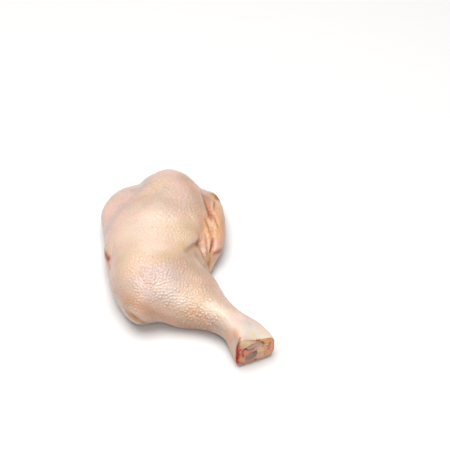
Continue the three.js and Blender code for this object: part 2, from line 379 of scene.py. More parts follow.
# finer lines: picture points, depth in mm, negative for a ridge, and half width in mm
pleats = {
    "paleRidge": (((211.8, 202.5), (212.2, 207), (212.6, 211)), -0.8, 1.0),
    "tipHollow": (((215.5, 198.5), (214.6, 203), (213.8, 208)), 0.8, 1.0),
    "tipRoll": (((213.5, 194.5), (216, 196.5), (218, 199.5)), -0.7, 1.2),
    "sideRidge": (((212, 216), (213.8, 221.5), (216, 227.5)), -0.6, 1.1),
    "sideLine": (((214.2, 214), (216.4, 219), (219, 226)), 0.6, 1.0),
    "nearRidge": (((205, 231), (204.4, 241), (205.5, 252)), -0.5, 1.1),
    "nearLine": (((206.8, 236), (206.6, 245), (207.8, 256)), 0.6, 0.9),
    "tailRidge": (((209.3, 240), (208.8, 250), (209.3, 262)), -0.5, 1.1),
    "lowerLip": (((221.5, 250), (218.5, 253.2), (215, 256)), 0.4, 1.0),
    "lowerRoll": (((220.5, 247.5), (217, 250.5), (214, 252.5)), -0.6, 1.3),
    "ankleLineA": (((205, 318), (211, 322.5), (217, 329)), 0.35, 0.9),
    "ankleLineB": (((214, 312), (219, 318), (224, 326)), 0.25, 0.9),
    "thighLineA": (((186, 213), (190, 216), (192, 219)), 0.4, 1.0),
}


def nearestOn(route, x, y, z, across=None):
    # squared gap, share of the way along, and signed place to the side
    best = share = side = None
    count = len(route) - 1
    for i in range(count):
        a, d = route[i], route[i + 1] - route[i]
        t = np.clip(((x - a[0]) * d[0] + (y - a[1]) * d[1] + (z - a[2]) * d[2]) / (d @ d), 0, 1)
        gx, gy, gz = x - a[0] - t * d[0], y - a[1] - t * d[1], z - a[2] - t * d[2]
        gap = gx * gx + gy * gy + gz * gz
        here = 0 * gap if across is None else gx * across[i][0] + gy * across[i][1] + gz * across[i][2]
        if best is None:
            best, share, side = gap, (i + t) / count, here
        else:
            closer = gap < best
            share = np.where(closer, (i + t) / count, share)
            side = np.where(closer, here, side)
            best = np.where(closer, gap, best)
    return best, share, side


def placeFolds():
    for fold in folds.values():
        route = castOn(plainLeg, fold["path"])
        normals = slopeOf(plainLeg, (route[1:] + route[:-1]) / 2)
        fold["route"] = route
        across = np.cross(route[1:] - route[:-1], normals)
        fold["across"] = across / np.linalg.norm(across, axis=1, keepdims=True)


foldShape = {"turn": 0.35, "lipRun": 3, "reach": 12}  # mm


def foldDepth(fold, x, y, z):
    gap, share, side = nearestOn(fold["route"], x, y, z, fold["across"])
    over = sigmoid(side / foldShape["turn"])
    wide = fold["soft"] + (fold["sharp"] - fold["soft"]) * over
    depth = np.interp(share, np.linspace(0, 1, len(fold["depth"])), fold["depth"]).astype(np.float32)
    strength = depth / max(fold["depth"])
    lip = fold["lift"] * strength * over * np.exp(-((side - fold["lipAt"]) / fold["lipWide"]) ** 2)
    pastEnds = np.maximum(gap - side**2, 0)
    return depth * np.exp(-gap / wide**2) - lip * np.exp(-pastEnds / foldShape["lipRun"] ** 2)


def foldedLeg(x, y, z):
    field = plainLeg(x, y, z)
    for fold in folds.values():
        field = field + foldDepth(fold, x, y, z)
    return field


def blockAround(sides, route, margin):
    low, high = route.min(axis=0) - margin, route.max(axis=0) + margin
    return tuple(slice(*np.searchsorted(sides[k], (low[k], high[k]))) for k in range(3))


gridMargin = 2.5  # mm of room round the skin
gridSlice = 12


def gridSides(cell):  # places of a grid round the skin of the frame
    low, high = (np.array(corner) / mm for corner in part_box("skin"))
    low, high = low - gridMargin, high + gridMargin
    return low, [np.arange(low[k], high[k] + cell, cell, dtype=np.float32) for k in range(3)]


def slicesOf(sides):  # thin slices of a grid, so that one piece of work stays small
    _, y, z = np.meshgrid(*sides, indexing="ij", sparse=True)
    for start in range(0, len(sides[0]), gridSlice):
        part = slice(start, start + gridSlice)
        yield part, sides[0][part, None, None], y, z


def foldedValues(sides):  # the same field on a whole grid, each fold only near its own line
    values = np.empty([len(side) for side in sides], np.float32)
    for part, x, y, z in slicesOf(sides):
        values[part] = plainLeg(x, y, z)
    for fold in folds.values():
        block = blockAround(sides, fold["route"], foldShape["reach"])
        x, y, z = np.meshgrid(*[sides[k][block[k]] for k in range(3)], indexing="ij", sparse=True)
        values[block] += foldDepth(fold, x, y, z).astype(np.float32)
    return values


# meshes
farOutside = 3.0  # value of a field beyond its grid


def surfaceOf(values, low, cell):  # places in mm, and four-sided faces that look outward
    grid = openvdb.FloatGrid(farOutside)
    grid.copyFromArray(np.ascontiguousarray(values, dtype=np.float32))
    points, quads = grid.convertToQuads(0.0)
    points = points.astype(float) * cell + np.array(low, float)
    quads = quads.astype(int)
    a, b, c, d = (points[quads[:, k]] for k in range(4))
    if (np.cross(c - a, d - b) * (a + b + c + d)).sum() < 0:
        quads = quads[:, ::-1]
    return points, quads


def gatherPlaces(points, quads, sizes):
    # merges the places that share a box of the size asked for there; size 0 keeps a place as it is
    keys = np.full((len(points), 4), -1, int)
    keys[:, 3] = np.arange(len(points))
    for size in np.unique(sizes[sizes > 0]):
        chosen = sizes == size
        keys[chosen, :3] = np.floor(points[chosen] / size)
        keys[chosen, 3] = -int(size * 1000)
    _, group = np.unique(keys, axis=0, return_inverse=True)
    group = group.ravel()
    count = group.max() + 1
    total = np.zeros((count, 3))
    np.add.at(total, group, points)
    merged = total / np.bincount(group, minlength=count)[:, None]
    faces, seen = [], set()
    for quad in group[quads]:
        corners = [q for k, q in enumerate(quad) if q != quad[k - 1]]
        key = tuple(sorted(corners))
        if len(set(corners)) == len(corners) and len(corners) > 2 and key not in seen:
            seen.add(key)
            faces.append(corners)
    return merged, faces


def dropLoose(points, faces):  # keeps only the places that a face uses
    used = np.unique(np.concatenate([np.array(f) for f in faces]))
    index = np.full(len(points), -1)
    index[used] = np.arange(len(used))
    return points[used], [[int(index[c]) for c in f] for f in faces]


def newPiece(name, points, faces, cadNode):
    mesh = bpy.data.meshes.new(name)
    mesh.from_pydata((points * mm).tolist(), [], faces)
    mesh.update()
    mesh.polygons.foreach_set("use_smooth", [True] * len(mesh.polygons))
    piece = addObject(name, mesh)
    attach(piece, "root")
    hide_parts(cadNode)
    triangles = sum(len(f) - 2 for f in faces)
    say(f"{name}: {len(points)} places, {triangles} triangles")
    return piece


def addValues(piece, name, values):
    kind = "FLOAT" if values.ndim == 1 else "FLOAT_COLOR"
    attribute = piece.data.attributes.new(name, kind, "POINT")
    if kind == "FLOAT":
        attribute.data.foreach_set("value", values.astype(np.float32))
    else:
        attribute.data.foreach_set("color", np.c_[values, np.ones(len(values))].astype(np.float32).ravel())


def fromScreenTone(red, green, blue):  # the usual 0 to 255 screen values to plain light
    tone = np.array([red, green, blue]) / 255
    return np.where(tone <= 0.04045, tone / 12.92, ((tone + 0.055) / 1.055) ** 2.4)


def evenTone(tone, places):  # one screen tone for all places
    return np.tile(fromScreenTone(*tone), (len(places), 1))


def blend(colour, tone, share):  # a screen tone over a colour, with one share for each place
    share = np.reshape(share, (-1, 1))
    return colour * (1 - share) + fromScreenTone(*tone) * share


# cells on the skin: evenly spread seeds, and how far inside its cell each place lies
seedRounds = 2
seedShare = 4  # one place in so many helps to spread the seeds


def treeOf(places):
    tree = kdtree.KDTree(len(places))
    for i, place in enumerate(places.tolist()):
        tree.insert(place, i)
    tree.balance()
    return tree


def evenSeeds(places, spacing, seed):
    rng = np.random.default_rng(seed)
    order = rng.permutation(len(places))
    boxes = np.floor(places[order] / spacing).astype(int)
    _, first = np.unique(boxes, axis=0, return_index=True)
    seeds = places[order[first]]
    some = places[order[::seedShare]]
    for _ in range(seedRounds):
        tree = treeOf(seeds)
        owner = np.array([tree.find(p)[1] for p in some.tolist()])
        count = np.bincount(owner, minlength=len(seeds))
        moved = np.stack([np.bincount(owner, some[:, k], len(seeds)) for k in range(3)], axis=1)
        seeds = moved[count > 0] / count[count > 0][:, None]
    return seeds


def cellPlaces(places, spacing, seed):  # distances to the two nearest seeds, and the first one's number
    tree = treeOf(evenSeeds(places, spacing, seed))
    found = [tree.find_n(p, 2) for p in places.tolist()]
    near = np.array([f[0][2] for f in found])
    second = np.array([f[1][2] for f in found])
    return near, second, np.array([f[0][1] for f in found])


# the skin
skinPiece = {
    "cell": 0.64,  # mm between the places of the mesh
    "quickCell": 1.1,
    "innerCell": 1.8,
    "underCell": 2.4,
    "underHeight": 1.2,
    "underFacing": -0.8,
    "edgeThickness": 0.8,  # the skin thins towards the cut end
    "thinsOver": 9,
    "edgeRound": 0.5,
    "wallRound": 0.3,
    "innerWallKept": 6,  # mm of its inner side that shows at its edges
    "innerFrom": -0.7,  # mm under the outer form where the inner side starts
    "outerWithin": 0.45,
    "settleFrom": 1,  # mm from its edges where its places are settled on the form
    # where the relief fades out: from none to full, in mm
    "outerFade": (-0.5, -0.2),
    "edgeFade": (-0.2, 1.5),
    "edgeQuiet": (0, 4),
    "floorQuiet": (0.3, 4),
    "cobbleSpacing": 2.6,
    "cobbleHeight": 0.64,
    "cobbleEdge": 0.75,
    "cobbleVary": (0.55, 1.25),
    "cobblesElsewhere": 0.2,
    "wrinkleLength": 5.6,
    "wrinkleWide": 1.9,
    "wrinkleDepth": 0.5,
    "wrinkleEdge": 0.6,
    "wrinkleWay": (0.9, 0.4, 0.1),
    "wrinkleBend": 1.2,
    "wrinkleBendSize": 9,
    "wrinklesElsewhere": 0.15,
    "unevenness": 0.3,
    "unevenSizes": (11, 5),
    "follicleReach": 0.55,
    "toneScale": 0.6,  # the studio light is stronger than a screen's white
    # soft clouds of tone under the strokes: tone, size in mm, shift of the noise
    "clouds": (("rose", 17, 11), ("lilac", 13, 12), ("butter", 19, 13), ("greyTan", 9, 14)),
    "cloudEdge": (0.05, 0.5),
    "cloudStrength": 0.5,
    # painted shade: the skin is blended towards tan near the floor, gone above the first height in mm and
    # full below the second
    "floorShadeTan": 0.5,
    "floorShadeHeights": (9, 2),
    # painted shade: the skin is darkened and warmed in the valleys between its cobbles
    "cobbleValleyShade": 0.03,  # how much darker the skin is between its cobbles
    "cobbleValleyShadeTint": (1.0, 1.3, 1.8),
    "spotColour": (0.90, 0.66, 0.38, 1),
    "spotAmount": 0.12,
    "netScale": 620,
    "netFlat": 0.25,
    "netBump": (0.7, 0.2),
}
# tones as the eye sees them on a screen
skinTones = {
    "peach": (241, 212, 194),
    "rose": (243, 207, 197),
    "pink": (243, 192, 178),
    "lilac": (224, 198, 190),
    "blueGrey": (208, 192, 186),
    "cream": (255, 233, 212),
    "butter": (238, 208, 168),
    "fat": (230, 196, 150),
    "greyTan": (212, 178, 152),
    "tan": (208, 156, 116),
    "orangeTan": (224, 148, 96),
    "apricot": (246, 186, 134),
    "amber": (208, 140, 62),
    "brown": (138, 80, 50),
    "rust": (170, 72, 40),
    "red": (160, 26, 10),
    "lemon": (250, 236, 104),
    "paleSkinAndSheen": (255, 242, 232),
    "milk": (224, 214, 212),
}
# brush strokes on the skin: picture points, reach in mm, tone, strength
skinStrokes = (
    # the thigh
    (((140, 178), (160, 172), (180, 176)), 8, "rose", 0.8),
    (((106, 206), (103.5, 220), (107, 236)), 8, "rose", 0.9),
    (((112, 196), (122, 186), (134, 180)), 6, "rose", 0.8),
    (((146, 184), (136, 194), (124, 206), (112, 222)), 5, "lilac", 0.8),
    (((140, 187), (148, 183)), 3, "blueGrey", 0.6),
    (((122, 203), (128, 208)), 4, "blueGrey", 0.4),
    (((106, 230), (110, 226), (114, 232)), 4, "blueGrey", 0.6),
    (((125, 225), (140, 235), (130, 250)), 13, "peach", 0.8),
    (((120, 240), (130, 232), (150, 240)), 8, "cream", 0.55),
    (((150, 200), (168, 192), (190, 196)), 11, "lilac", 0.5),
    (((184, 176), (194, 190), (200, 204)), 7, "greyTan", 0.7),
    (((188, 180), (195, 190)), 5, "tan", 0.3),
    (((168, 208), (182, 212), (176, 218)), 8, "lilac", 0.5),
    (((185, 222), (196, 226), (203, 236)), 6, "butter", 0.5),
    (((199, 214), (203, 224), (205, 230)), 3, "greyTan", 0.6),
    (((150, 218), (162, 226), (150, 250)), 11, "cream", 0.75),
    (((158, 226), (172, 222)), 7, "cream", 0.6),
    (((172, 228), (184, 234), (180, 244)), 8, "butter", 0.6),
    (((176, 236), (186, 238)), 5, "cream", 0.35),
    (((160, 258), (172, 254), (186, 246)), 4.5, "fat", 0.6),
    (((174, 202), (175.5, 203)), 2.2, "pink", 0.45),
    (((145.5, 197.5), (148, 196)), 2.4, "butter", 0.5),
    (((185, 213), (189, 216)), 2.6, "butter", 0.5),
    (((128, 250), (140, 262), (156, 262)), 8, "butter", 0.4),
    # the knee and the calf
    (((176, 262), (188, 256), (197, 250)), 4.5, "greyTan", 0.9),
    (((178, 268), (192, 266), (202, 274)), 7, "greyTan", 0.85),
    (((196, 252), (203, 265), (212, 284)), 4, "greyTan", 0.8),
    (((201, 252), (206, 264), (214, 280)), 1.6, "orangeTan", 0.35),
    (((150, 274), (168, 272), (184, 284)), 7, "lilac", 0.9),
    (((134, 286), (150, 294), (172, 306)), 8, "lilac", 0.4),
    # painted sheen: a pale stroke along the calf's band of gloss
    (((162, 286), (172, 292), (182, 299)), 6, "paleSkinAndSheen", 0.5),
    (((130, 282), (140, 290), (150, 297)), 4, "blueGrey", 0.35),
    (((118, 262), (116.5, 280), (124, 298)), 6, "greyTan", 0.35),
    (((113, 250), (112, 262), (113, 274)), 2.4, "milk", 0.7),
    # the tan under the knee and along the calf's lower side is partly the skin's own tone and partly painted
    # shade on the underside
    (((124, 300), (134, 303), (142, 308)), 6, "tan", 0.75),
    (((150, 312), (172, 321), (192, 327)), 5, "tan", 0.75),
    (((165, 306), (185, 314)), 4, "tan", 0.3),
    (((194, 312), (202, 320)), 5, "apricot", 0.5),
    (((190, 290), (204, 300), (214, 312)), 7, "butter", 0.5),
    (((205, 284), (214, 294), (222, 304)), 5, "greyTan", 0.6),
    (((222, 302), (227, 307)), 2.6, "blueGrey", 0.5),
    (((126, 311), (134, 318), (146, 323.5), (155, 322.6)), 2.2, "amber", 0.9),
    # the brown line in the knee roll is partly painted shade in the fold
    (((131, 314), (137, 318.5), (143, 322)), 0.8, "brown", 0.35),
    # the shank and the knob
    (((214, 308), (228, 318), (240, 326)), 6, "cream", 1.0),
    (((206, 322), (214, 330), (222, 338)), 5, "pink", 0.3),
    (((205, 329), (214, 337), (222, 345)), 3, "orangeTan", 0.5),
    # the pale tone on the knob's top is partly the skin's cream and partly painted light on the lit top
    (((240, 318), (252, 326), (264, 336)), 7, "paleSkinAndSheen", 0.85),
    (((236, 326), (244, 333), (256, 333)), 5, "paleSkinAndSheen", 0.7),
    (((246, 325), (256, 331)), 5, "paleSkinAndSheen", 0.8),
    (((232, 316), (238, 322), (246, 322)), 4, "rose", 0.5),
    (((248, 322), (250, 324)), 2.2, "blueGrey", 0.35),
    # painted light: cream lightens the knob's right side, which lies in shade
    (((262, 328), (267, 333), (271, 338)), 4, "cream", 0.7),
    (((264, 325), (270, 331), (273, 337)), 2, "butter", 0.5),
    # apricot and orange tan on the knob's near side are partly the skin's tone and partly painted shade
    (((228, 338), (231, 348), (235, 358)), 5, "apricot", 0.85),
    (((235, 332), (236.5, 337)), 3, "orangeTan", 0.6),
    (((254, 334.4), (254.4, 336)), 1.6, "lemon", 0.75),
    # the loose flap
    (((216, 205), (219, 220), (220, 234)), 6.5, "apricot", 1.0),
    (((206, 220), (210, 240), (211, 258)), 6, "apricot", 0.9),
    (((221, 214), (223.5, 232)), 2.6, "orangeTan", 0.6),
    (((203, 236), (204.5, 246), (206.5, 256)), 2.6, "tan", 0.45),
    # the tan band and the rust and brown lines along the flap's groove are partly the skin's tone and partly
    # painted shade in the groove
    (((207, 196), (210.4, 206), (212, 214)), 3.2, "tan", 0.9),
    (((208.6, 206), (211, 214), (212, 218)), 1.8, "rust", 0.3),
    (((194, 232), (200, 238)), 4, "apricot", 0.45),
    (((220.5, 210), (221.5, 216)), 2, "butter", 0.6),
    (((203, 193), (206, 201), (208.5, 208.5), (210.4, 216)), 2.3, "rust", 0.5),
    (((205.6, 200), (208.2, 207.5), (210.4, 214)), 1.3, "brown", 0.3),
    (((202, 190.5), (203.4, 194)), 1.2, "rust", 0.4),
    # painted highlight: butter along the pale ridge; the brown in the hollow beside it is partly painted
    # shade
    (((212, 202.6), (212.7, 209.5)), 0.9, "butter", 0.9),
    (((215.4, 201), (214.6, 206), (213.6, 210)), 0.9, "brown", 0.6),
    (((212, 194.4), (215.4, 196.4), (218, 199.6)), 2.3, "amber", 1.0),
    (((215.2, 197), (217.6, 199.6)), 1.4, "brown", 0.65),
    (((217, 202.6), (219.4, 206)), 1.1, "cream", 0.5),
    # the rust along the fold is partly painted shade, and the cream on its lip is a painted highlight
    (((206, 219.5), (208.6, 225), (210.4, 231), (210.9, 236)), 1.0, "rust", 0.45),
    (((208, 219), (210.8, 225)), 1.0, "cream", 0.3),
    (((210, 217), (213, 222), (214, 230)), 3.2, "tan", 0.4),
    (((213, 216), (216, 220), (218.5, 227)), 1.0, "tan", 0.6),
    # the rust in the cleft is partly the skin's tone and partly painted shade
    (((213.4, 238.5), (212.4, 245), (210.6, 250.5)), 1.6, "rust", 0.75),
    (((216.6, 240), (217, 247)), 2.0, "pink", 0.7),
    (((222.6, 232), (223, 244)), 1.6, "pink", 0.7),
    (((218.6, 252.8), (221.6, 251)), 1.5, "red", 0.6),
    (((214, 253), (217.5, 251), (220.5, 249.3)), 1.4, "rust", 0.6),
    (((209.4, 258), (209.2, 266.5)), 1.9, "amber", 1.0),
    # the rust in these two grooves is partly the skin's tone and partly painted shade
    (((200.6, 246), (203.4, 256), (207.2, 264)), 1.0, "rust", 0.35),
    (((206.4, 238), (206.4, 246), (207.6, 256)), 0.8, "rust", 0.35),
    (((204, 240), (204.3, 250)), 0.9, "pink", 0.5),
    (((208.7, 240), (208.8, 250)), 0.9, "cream", 0.45),
    (((199, 242.6), (197.4, 244)), 2.4, "rust", 0.85),
    (((196.5, 244.6), (191, 248.2), (186, 251.4)), 1.6, "tan", 0.7),
    # the left edge, where the skin stops and the meat starts
    (((104.4, 249), (105, 254)), 1.0, "rust", 0.8),
    (((105.6, 254.6), (108.2, 259.5)), 2.8, "rust", 1.0),
    (((107, 256.6), (108.4, 259)), 1.6, "red", 0.85),
    (((109.6, 249), (108.6, 252)), 1.6, "fat", 0.9),
    (((108.2, 263), (109.4, 271)), 1.5, "amber", 0.7),
)
# strokes at the cut end, on the skin's rim and on what shows inside it
cutTones = {
    "flesh": (228, 148, 108),
    "pinkFlesh": (222, 132, 106),
    "paleFlesh": (232, 190, 172),
    "fat": (250, 224, 176),
    "yellowFat": (240, 206, 104),
    "gristle": (190, 144, 126),
    "darkGristle": (122, 84, 66),
    "blueGristle": (124, 98, 88),
    "blood": (196, 30, 12),
    "darkBlood": (100, 20, 10),
    "brown": (138, 86, 56),
    "tan": (228, 168, 114),
    "amber": (236, 172, 72),
    "tendon": (212, 168, 74),
    "lilac": (226, 180, 170),
    "olive": (150, 118, 78),
}
rimStrokes = (
    (((240, 338.6), (238.8, 342), (238, 345.5)), 1.1, "brown", 0.8),
    (((237.6, 347), (237.2, 351), (238, 355), (237.2, 358)), 1.7, "blood", 1.0),
    (((237.2, 358), (236.7, 361), (237.8, 363)), 1.8, "blood", 1.0),
    (((238, 353), (238.8, 355.4)), 0.7, "darkBlood", 0.45),
    (((257, 340.2), (260, 339.7)), 0.7, "brown", 0.6),
    (((240, 364), (245, 365), (250, 363.6)), 0.8, "olive", 0.8),
    (((256, 360.4), (262, 360.6), (268, 357)), 0.8, "brown", 0.6),
)
dullTones = {"names": ("blood", "darkBlood", "rust", "red", "brown"), "loss": 0.8}
# where the follicle cobbles and the long wrinkles are strong: picture points, reach in mm, amount
cobbleStrokes = (
    (((138, 276), (160, 288), (185, 304), (204, 318)), 11, 1.0),
    (((188, 322), (208, 324)), 6, 1.2),
    (((185, 268), (206, 284), (220, 300)), 11, 0.7),
    (((140, 240), (160, 232), (186, 228)), 14, 0.55),
    (((140, 262), (160, 262)), 9, 0.5),
    (((120, 284), (134, 304)), 9, 0.45),
    (((110, 214), (120, 228)), 12, 0.3),
)
wrinkleStrokes = (
    (((158, 184), (178, 194), (194, 210)), 13, 1.0),
    (((125, 200), (140, 215)), 14, 0.55),
    (((165, 222), (180, 236)), 12, 0.6),
    (((200, 316), (212, 322)), 7, 1.0),
    (((214, 210), (214, 240)), 8, 0.5),
)


def strokeWeight(path, reach, points):
    route = castOn(cutLeg, path)
    if len(route) == 1:
        gap = ((points - route[0]) ** 2).sum(axis=1)
    else:
        gap = nearestOn(route, *points.T)[0]
    return np.exp(-gap / reach**2)


def painted(points, colour, strokes, tones):
    for path, reach, tone, strength in strokes:
        colour = blend(colour, tones[tone], strength * strokeWeight(path, reach, points))
    return colour


def shineAt(points, strokes):  # 1 where the surface is wet, less where blood and deep folds dull it
    shine = np.ones(len(points))
    for path, reach, tone, strength in strokes:
        if tone in dullTones["names"]:
            shine *= 1 - dullTones["loss"] * strength * strokeWeight(path, reach, points)
    return shine


strokeSumLimit = 1.4


def strokeSum(strokes, points, floor):
    total = floor + sum(w * strokeWeight(p, r, points) for p, r, w in strokes)
    return np.clip(total, 0, strokeSumLimit)


def skinThicknessAt(x, y):
    thin, full = skinPiece["edgeThickness"], legForm["skinThickness"]
    return thin + (full - thin) * smoothStep(0, skinPiece["thinsOver"], -beyondCut(x, y))


def skinRelief(points, quiet):  # fine relief in mm, and how near a follicle each place is
    near, second, which = cellPlaces(points, skinPiece["cobbleSpacing"], 3)
    dome = smoothStep(0, skinPiece["cobbleEdge"], (second - near) / skinPiece["cobbleSpacing"])
    vary = np.random.default_rng(5).uniform(*skinPiece["cobbleVary"], which.max() + 1)[which]
    strength = strokeSum(cobbleStrokes, points, skinPiece["cobblesElsewhere"])
    cobbles = skinPiece["cobbleHeight"] * dome * vary * strength
    way = np.array(skinPiece["wrinkleWay"], float)
    squeeze = 1 - skinPiece["wrinkleWide"] / skinPiece["wrinkleLength"]
    bend = np.stack([softNoise(points, skinPiece["wrinkleBendSize"], k) for k in (1, 2, 3)], axis=1)
    bent = points + bend * skinPiece["wrinkleBend"]
    bent = bent - np.outer(bent @ way, way) * squeeze
    near2, second2, _ = cellPlaces(bent, skinPiece["wrinkleWide"], 4)
    ridge = smoothStep(0, skinPiece["wrinkleEdge"], (second2 - near2) / skinPiece["wrinkleWide"])
    strength = strokeSum(wrinkleStrokes, points, skinPiece["wrinklesElsewhere"])
    wrinkles = skinPiece["wrinkleDepth"] * (ridge - 1) * strength
    wideSize, smallSize = skinPiece["unevenSizes"]
    lumps = softNoise(points, wideSize, 4) + 0.5 * softNoise(points, smallSize, 5)
    uneven = skinPiece["unevenness"] * lumps
    pleated = 0
    for path, depth, wide in pleats.values():
        gap = nearestOn(castOn(plainLeg, path), *points.T)[0]
        pleated = pleated - depth * np.exp(-gap / wide**2)
    follicle = np.exp(-((near / skinPiece["follicleReach"]) ** 2))
    return (cobbles + wrinkles + uneven) * quiet + pleated, follicle, dome


def layFlat(points):  # the places moved onto the leg without folds, so that paint reaches into these
    for _ in range(2):
        points = points - slopeOf(plainLeg, points) * plainLeg(*points.T)[:, None]
    return points


def makeSkin():
    cell = skinPiece["cell"]
    low, sides = gridSides(cell)
    values = foldedValues(sides)
    say(f"field of the leg on {values.shape}")
    for part, x, y, z in slicesOf(sides):
        shell = smoothMax(values[part], -(values[part] + skinThicknessAt(x, y)), skinPiece["wallRound"])
        shell = smoothMax(shell, -opening(x, y, z), skinPiece["edgeRound"])
        values[part] = smoothMax(shell, beyondCut(x, y), skinPiece["edgeRound"])
    points, quads = surfaceOf(values, low, cell)
    outside = foldedLeg(*points.T)
    edgeGap = np.minimum(np.abs(opening(*points.T)), np.abs(beyondCut(points[:, 0], points[:, 1])))
    inner = outside < skinPiece["innerFrom"]
    keep = ~(inner & (edgeGap > skinPiece["innerWallKept"]))
    quads = quads[keep[quads].all(axis=1)]
    onOuter = (np.abs(outside) < skinPiece["outerWithin"]) & (edgeGap > skinPiece["settleFrom"])
    for _ in range(2):  # settle the outer places exactly on the form
        normals = slopeOf(foldedLeg, points)
        points = points - normals * (foldedLeg(*points.T) * onOuter)[:, None]
    under = (points[:, 2] < skinPiece["underHeight"]) & (normals[:, 2] < skinPiece["underFacing"])
    sizes = np.where(inner, skinPiece["innerCell"], np.where(under, skinPiece["underCell"], 0))
    points, faces = gatherPlaces(points, quads, sizes)
    points, faces = dropLoose(points, faces)
    say(f"skin mesh: {len(points)} places")
    outside = foldedLeg(*points.T)
    normals = slopeOf(foldedLeg, points)
    edgeGap = np.minimum(opening(*points.T), -beyondCut(points[:, 0], points[:, 1]))
    onOuter = smoothStep(*skinPiece["outerFade"], outside) * smoothStep(*skinPiece["edgeFade"], edgeGap)
    awayFromFloor = smoothStep(*skinPiece["floorQuiet"], points[:, 2])
    quiet = onOuter * awayFromFloor * smoothStep(*skinPiece["edgeQuiet"], edgeGap)
    height, follicle, dome = skinRelief(points, quiet)
    points = points + normals * (height * onOuter)[:, None]
    points[:, 2] = np.maximum(points[:, 2], 0)
    piece = newPiece("skin", points, faces, "skin")
    colour = evenTone(skinTones["peach"], points)
    for tone, size, shift in skinPiece["clouds"]:
        lumps = smoothStep(*skinPiece["cloudEdge"], softNoise(points, size, shift))
        colour = blend(colour, skinTones[tone], skinPiece["cloudStrength"] * lumps)
    # painted shade: tan blended onto the low skin near the floor
    nearFloorShade = smoothStep(*skinPiece["floorShadeHeights"], points[:, 2])
    colour = blend(colour, skinTones["tan"], skinPiece["floorShadeTan"] * nearFloorShade)
    laid = layFlat(points)
    colour = painted(laid, colour, skinStrokes, skinTones)
    colour = painted(points, colour, rimStrokes, cutTones)
    # painted shade in the valleys between the cobbles
    between = 1 - skinPiece["cobbleValleyShade"] * quiet * (1 - dome)
    between = between[:, None] ** np.array(skinPiece["cobbleValleyShadeTint"])
    addValues(piece, "tint", colour * skinPiece["toneScale"] * between)
    addValues(piece, "follicle", follicle * quiet)
    addValues(piece, "shine", shineAt(laid, skinStrokes) * shineAt(points, rimStrokes))
    piece.data.materials.append(skinMaterial())
    return piece


# materials
groupSockets = (
    ("INPUT", "NodeSocketColor", ("Colour", "Blotch colour")),
    ("INPUT", "NodeSocketFloat", ("Blotch amount", "Blotch scale")),
    ("INPUT", "NodeSocketFloat", ("Grain scale", "Grain contrast", "Roughness")),
    ("OUTPUT", "NodeSocketColor", ("Colour",)),
    ("OUTPUT", "NodeSocketFloat", ("Roughness", "Height")),
)
blotchShape = {"Detail": 3}
blotchSpread = {"From Min": 0.42, "From Max": 0.68}
grainShape = {"Detail": 4}
grainOnRoughness = 0.3
# the sockets that each kind of value in wetTissues goes to
tissueSockets = {
    "colour": ("Colour",),
    "blotch": ("Blotch colour", "Blotch amount", "Blotch scale"),
    "grain": ("Grain scale", "Grain contrast"),
    "roughness": ("Roughness",),
}
shaderSockets = {
    "glow": ("Subsurface Weight", "Subsurface Radius", "Subsurface Scale"),
    "coat": ("Coat Weight", "Coat Roughness"),
}
# glow is light under the surface, with its scale in m; bump is strength and height in mm
wetTissues = {
    "rawSkin": {
        "blotch": ((0.74, 0.40, 0.34, 1), 0.2, 75), "grain": (800, 0.1), "roughness": (0.36,),
        "glow": (0.3, (1.0, 0.42, 0.24), 0.001), "coat": (0.25, 0.2), "bump": (0.5, 0.2),
    },
    "rawMeat": {
        "colour": ((0.62, 0.22, 0.16, 1),),
        "blotch": ((0.78, 0.48, 0.38, 1), 0.6, 160), "grain": (700, 0.3), "roughness": (0.32,),
        "glow": (0.6, (1.0, 0.3, 0.2), 0.003), "coat": (0.4, 0.15), "bump": (0.6, 0.4),
    },
    "cutFlesh": {
        "blotch": ((0.50, 0.16, 0.10, 1), 0.22, 420), "grain": (1300, 0.3), "roughness": (0.3,),
        "glow": (0.3, (1.0, 0.4, 0.25), 0.0008), "coat": (0.35, 0.15), "bump": (0.6, 0.25),
    },
    "gristle": {
        "blotch": ((0.12, 0.09, 0.10, 1), 0.25, 350), "grain": (900, 0.15), "roughness": (0.22,),
        "glow": (0.25, (0.8, 0.6, 0.5), 0.0008), "coat": (0.5, 0.1), "bump": (0.35, 0.2),
    },
    "tendon": {
        "blotch": ((0.35, 0.22, 0.10, 1), 0.2, 700), "grain": (1500, 0.2), "roughness": (0.3,),
        "glow": (0.2, (0.8, 0.6, 0.4), 0.0006), "coat": (0.3, 0.15), "bump": (0.3, 0.15),
    },
}


def newNode(tree, kind, values=None, **settings):  # a node, its settings and its values by socket
    node = tree.nodes.new(kind)
    for key, value in settings.items():
        setattr(node, key, value)
    for key, value in (values or {}).items():
        node.inputs[key].default_value = value
    return node


def linkAll(tree, links):  # each link is a node, its output, the next node and its input
    for source, output, target, into in links:
        tree.links.new(source.outputs[output], target.inputs[into])


